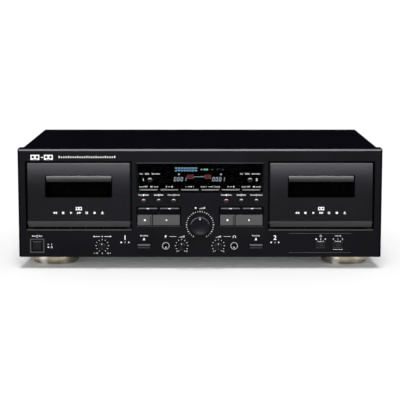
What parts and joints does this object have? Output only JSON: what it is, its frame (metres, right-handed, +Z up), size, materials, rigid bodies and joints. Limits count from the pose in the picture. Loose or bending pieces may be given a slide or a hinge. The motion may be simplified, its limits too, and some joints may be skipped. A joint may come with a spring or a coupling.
{
  "type": "double cassette deck",
  "caption": "Full-width hi-fi cassette deck with twin hinged tape bays, a central display over logic keys, level knobs, and jacks in a low black case on round metal feet.",
  "frame": {"origin": "on the floor below the middle of the overall box", "axes": "+X to the right seen from the front, +Y to the rear, +Z up"},
  "size_m": [0.435, 0.289, 0.145],
  "materials": {
    "panel": "fine satin black",
    "cover": "fine-grained satin black paint",
    "chassis_steel": "zinc-plated sheet",
    "rear_paint": "satin black paint",
    "foot_metal": "satin champagne",
    "smoked_lens": "polished, smoked",
    "screw_metal": "blackened",
    "jack_metal": "nickel plated",
    "socket_plastic": "moulded black with nickel sleeves",
    "circuit_board": "solder mask",
    "transformer_iron": "varnished laminations",
    "well_plastic": "moulded black",
    "motor_metal": "plated",
    "door_plastic": "hairline satin charcoal",
    "holder_plastic": "moulded black",
    "reel_plastic": "moulded white",
    "flywheel_metal": "turned",
    "carriage_metal": "plated",
    "key_dark": "satin black",
    "key_grey": "satin grey",
    "button_grey": "satin grey",
    "record_red": "satin dull red",
    "mode_grey": "satin pale grey",
    "knob_black": "satin black",
    "switch_black": "moulded black"
  },
  "bodies": {
    "case": {"front_panel": "panel", "top_cover": "cover", "chassis": "chassis_steel", "rear_panel": "rear_paint", "feet": "foot_metal", "display_window": "smoked_lens", "case_screws": "screw_metal", "jack_sockets": "jack_metal", "rear_sockets": "socket_plastic", "control_boards": "circuit_board", "main_board": "circuit_board", "power_transformer": "transformer_iron", "transport_frame_1": "well_plastic", "transport_frame_2": "well_plastic", "motor_drives": "motor_metal"},
    "bay_door_1": {"door_1": "door_plastic", "door_window_1": "smoked_lens", "cassette_holder_1": "holder_plastic"},
    "supply_reel_1_body": {"supply_reel_1": "reel_plastic"},
    "take_up_reel_1_body": {"take_up_reel_1": "reel_plastic"},
    "capstan_1_body": {"capstan_flywheel_1": "flywheel_metal"},
    "head_carriage_1_body": {"head_carriage_1": "carriage_metal"},
    "eject_button_1_body": {"eject_button_1": "key_dark"},
    "stop_key_1_body": {"stop_key_1": "key_grey"},
    "play_key_1_body": {"play_key_1": "key_grey"},
    "rewind_key_1_body": {"rewind_key_1": "key_dark"},
    "fast_forward_key_1_body": {"fast_forward_key_1": "key_dark"},
    "record_button_1_body": {"record_button_1": "record_red"},
    "pause_button_1_body": {"pause_button_1": "button_grey"},
    "mute_button_1_body": {"mute_button_1": "button_grey"},
    "counter_reset_1_body": {"counter_reset_1": "key_dark"},
    "bay_door_2": {"door_2": "door_plastic", "door_window_2": "smoked_lens", "cassette_holder_2": "holder_plastic"},
    "supply_reel_2_body": {"supply_reel_2": "reel_plastic"},
    "take_up_reel_2_body": {"take_up_reel_2": "reel_plastic"},
    "capstan_2_body": {"capstan_flywheel_2": "flywheel_metal"},
    "head_carriage_2_body": {"head_carriage_2": "carriage_metal"},
    "eject_button_2_body": {"eject_button_2": "key_dark"},
    "stop_key_2_body": {"stop_key_2": "key_grey"},
    "play_key_2_body": {"play_key_2": "key_grey"},
    "rewind_key_2_body": {"rewind_key_2": "key_dark"},
    "fast_forward_key_2_body": {"fast_forward_key_2": "key_dark"},
    "record_button_2_body": {"record_button_2": "record_red"},
    "pause_button_2_body": {"pause_button_2": "button_grey"},
    "mute_button_2_body": {"mute_button_2": "button_grey"},
    "counter_reset_2_body": {"counter_reset_2": "key_dark"},
    "mode_key_1_body": {"mode_key_1": "mode_grey"},
    "mode_key_2_body": {"mode_key_2": "mode_grey"},
    "mode_key_3_body": {"mode_key_3": "mode_grey"},
    "mode_key_4_body": {"mode_key_4": "mode_grey"},
    "mode_key_5_body": {"mode_key_5": "mode_grey"},
    "mode_key_6_body": {"mode_key_6": "mode_grey"},
    "power_button_body": {"power_button": "key_dark"},
    "record_level_knob_body": {"record_level_knob": "knob_black"},
    "pitch_knob_body": {"pitch_knob": "knob_black"},
    "mic_level_knob_body": {"mic_level_knob": "knob_black"},
    "phones_level_knob_body": {"phones_level_knob": "knob_black"},
    "timer_switch_body": {"timer_switch": "switch_black"},
    "filter_switch_body": {"filter_switch": "switch_black"}
  },
  "joints": [
    {"name": "door_1_hinge", "type": "hinge", "parent": "case", "child": "bay_door_1", "pos_m": [-0.145, -0.1185, 0.0543], "axis": [1, 0, 0], "range_deg": [0, 25]},
    {"name": "supply_reel_1_spin", "type": "hinge", "parent": "case", "child": "supply_reel_1_body", "pos_m": [-0.16625, -0.1092, 0.0928], "axis": [0, 1, 0], "continuous": true},
    {"name": "take_up_reel_1_spin", "type": "hinge", "parent": "case", "child": "take_up_reel_1_body", "pos_m": [-0.12375, -0.1092, 0.0928], "axis": [0, 1, 0], "continuous": true},
    {"name": "capstan_1_spin", "type": "hinge", "parent": "case", "child": "capstan_1_body", "pos_m": [-0.126, -0.1092, 0.0663], "axis": [0, 1, 0], "continuous": true},
    {"name": "head_carriage_1_lift", "type": "slide", "parent": "case", "child": "head_carriage_1_body", "axis": [0, 0, 1], "range_m": [0, 0.005], "stiffness_N_per_m": 60},
    {"name": "eject_button_1_press", "type": "slide", "parent": "case", "child": "eject_button_1_body", "axis": [0, 1, 0], "range_m": [0, 0.004], "stiffness_N_per_m": 150},
    {"name": "stop_key_1_press", "type": "slide", "parent": "case", "child": "stop_key_1_body", "axis": [0, 1, 0], "range_m": [0, 0.001], "stiffness_N_per_m": 400},
    {"name": "play_key_1_press", "type": "slide", "parent": "case", "child": "play_key_1_body", "axis": [0, 1, 0], "range_m": [0, 0.001], "stiffness_N_per_m": 400},
    {"name": "rewind_key_1_press", "type": "slide", "parent": "case", "child": "rewind_key_1_body", "axis": [0, 1, 0], "range_m": [0, 0.001], "stiffness_N_per_m": 400},
    {"name": "fast_forward_key_1_press", "type": "slide", "parent": "case", "child": "fast_forward_key_1_body", "axis": [0, 1, 0], "range_m": [0, 0.001], "stiffness_N_per_m": 400},
    {"name": "record_button_1_press", "type": "slide", "parent": "case", "child": "record_button_1_body", "axis": [0, 1, 0], "range_m": [0, 0.001], "stiffness_N_per_m": 400},
    {"name": "pause_button_1_press", "type": "slide", "parent": "case", "child": "pause_button_1_body", "axis": [0, 1, 0], "range_m": [0, 0.001], "stiffness_N_per_m": 400},
    {"name": "mute_button_1_press", "type": "slide", "parent": "case", "child": "mute_button_1_body", "axis": [0, 1, 0], "range_m": [0, 0.001], "stiffness_N_per_m": 400},
    {"name": "counter_reset_1_press", "type": "slide", "parent": "case", "child": "counter_reset_1_body", "axis": [0, 1, 0], "range_m": [0, 0.001], "stiffness_N_per_m": 400},
    {"name": "door_2_hinge", "type": "hinge", "parent": "case", "child": "bay_door_2", "pos_m": [0.145, -0.1185, 0.0543], "axis": [1, 0, 0], "range_deg": [0, 25]},
    {"name": "supply_reel_2_spin", "type": "hinge", "parent": "case", "child": "supply_reel_2_body", "pos_m": [0.12375, -0.1092, 0.0928], "axis": [0, 1, 0], "continuous": true},
    {"name": "take_up_reel_2_spin", "type": "hinge", "parent": "case", "child": "take_up_reel_2_body", "pos_m": [0.16625, -0.1092, 0.0928], "axis": [0, 1, 0], "continuous": true},
    {"name": "capstan_2_spin", "type": "hinge", "parent": "case", "child": "capstan_2_body", "pos_m": [0.164, -0.1092, 0.0663], "axis": [0, 1, 0], "continuous": true},
    {"name": "head_carriage_2_lift", "type": "slide", "parent": "case", "child": "head_carriage_2_body", "axis": [0, 0, 1], "range_m": [0, 0.005], "stiffness_N_per_m": 60},
    {"name": "eject_button_2_press", "type": "slide", "parent": "case", "child": "eject_button_2_body", "axis": [0, 1, 0], "range_m": [0, 0.004], "stiffness_N_per_m": 150},
    {"name": "stop_key_2_press", "type": "slide", "parent": "case", "child": "stop_key_2_body", "axis": [0, 1, 0], "range_m": [0, 0.001], "stiffness_N_per_m": 400},
    {"name": "play_key_2_press", "type": "slide", "parent": "case", "child": "play_key_2_body", "axis": [0, 1, 0], "range_m": [0, 0.001], "stiffness_N_per_m": 400},
    {"name": "rewind_key_2_press", "type": "slide", "parent": "case", "child": "rewind_key_2_body", "axis": [0, 1, 0], "range_m": [0, 0.001], "stiffness_N_per_m": 400},
    {"name": "fast_forward_key_2_press", "type": "slide", "parent": "case", "child": "fast_forward_key_2_body", "axis": [0, 1, 0], "range_m": [0, 0.001], "stiffness_N_per_m": 400},
    {"name": "record_button_2_press", "type": "slide", "parent": "case", "child": "record_button_2_body", "axis": [0, 1, 0], "range_m": [0, 0.001], "stiffness_N_per_m": 400},
    {"name": "pause_button_2_press", "type": "slide", "parent": "case", "child": "pause_button_2_body", "axis": [0, 1, 0], "range_m": [0, 0.001], "stiffness_N_per_m": 400},
    {"name": "mute_button_2_press", "type": "slide", "parent": "case", "child": "mute_button_2_body", "axis": [0, 1, 0], "range_m": [0, 0.001], "stiffness_N_per_m": 400},
    {"name": "counter_reset_2_press", "type": "slide", "parent": "case", "child": "counter_reset_2_body", "axis": [0, 1, 0], "range_m": [0, 0.001], "stiffness_N_per_m": 400},
    {"name": "mode_key_1_press", "type": "slide", "parent": "case", "child": "mode_key_1_body", "axis": [0, 1, 0], "range_m": [0, 0.001], "stiffness_N_per_m": 400},
    {"name": "mode_key_2_press", "type": "slide", "parent": "case", "child": "mode_key_2_body", "axis": [0, 1, 0], "range_m": [0, 0.001], "stiffness_N_per_m": 400},
    {"name": "mode_key_3_press", "type": "slide", "parent": "case", "child": "mode_key_3_body", "axis": [0, 1, 0], "range_m": [0, 0.001], "stiffness_N_per_m": 400},
    {"name": "mode_key_4_press", "type": "slide", "parent": "case", "child": "mode_key_4_body", "axis": [0, 1, 0], "range_m": [0, 0.001], "stiffness_N_per_m": 400},
    {"name": "mode_key_5_press", "type": "slide", "parent": "case", "child": "mode_key_5_body", "axis": [0, 1, 0], "range_m": [0, 0.001], "stiffness_N_per_m": 400},
    {"name": "mode_key_6_press", "type": "slide", "parent": "case", "child": "mode_key_6_body", "axis": [0, 1, 0], "range_m": [0, 0.001], "stiffness_N_per_m": 400},
    {"name": "power_button_press", "type": "slide", "parent": "case", "child": "power_button_body", "axis": [0, 1, 0], "range_m": [0, 0.003], "stiffness_N_per_m": 400},
    {"name": "record_level_knob_turn", "type": "hinge", "parent": "case", "child": "record_level_knob_body", "pos_m": [0, -0.1305, 0.054], "axis": [0, 1, 0], "range_deg": [-150, 150]},
    {"name": "pitch_knob_turn", "type": "hinge", "parent": "case", "child": "pitch_knob_body", "pos_m": [-0.1174, -0.1305, 0.0288], "axis": [0, 1, 0], "range_deg": [-150, 150]},
    {"name": "mic_level_knob_turn", "type": "hinge", "parent": "case", "child": "mic_level_knob_body", "pos_m": [-0.02199, -0.1305, 0.0288], "axis": [0, 1, 0], "range_deg": [-150, 150]},
    {"name": "phones_level_knob_turn", "type": "hinge", "parent": "case", "child": "phones_level_knob_body", "pos_m": [0.02199, -0.1305, 0.0288], "axis": [0, 1, 0], "range_deg": [-150, 150]},
    {"name": "timer_switch_slide", "type": "slide", "parent": "case", "child": "timer_switch_body", "axis": [1, 0, 0], "range_m": [-0.0032, 0.0032]},
    {"name": "filter_switch_slide", "type": "slide", "parent": "case", "child": "filter_switch_body", "axis": [1, 0, 0], "range_m": [-0.0032, 0.0032]}
  ]
}
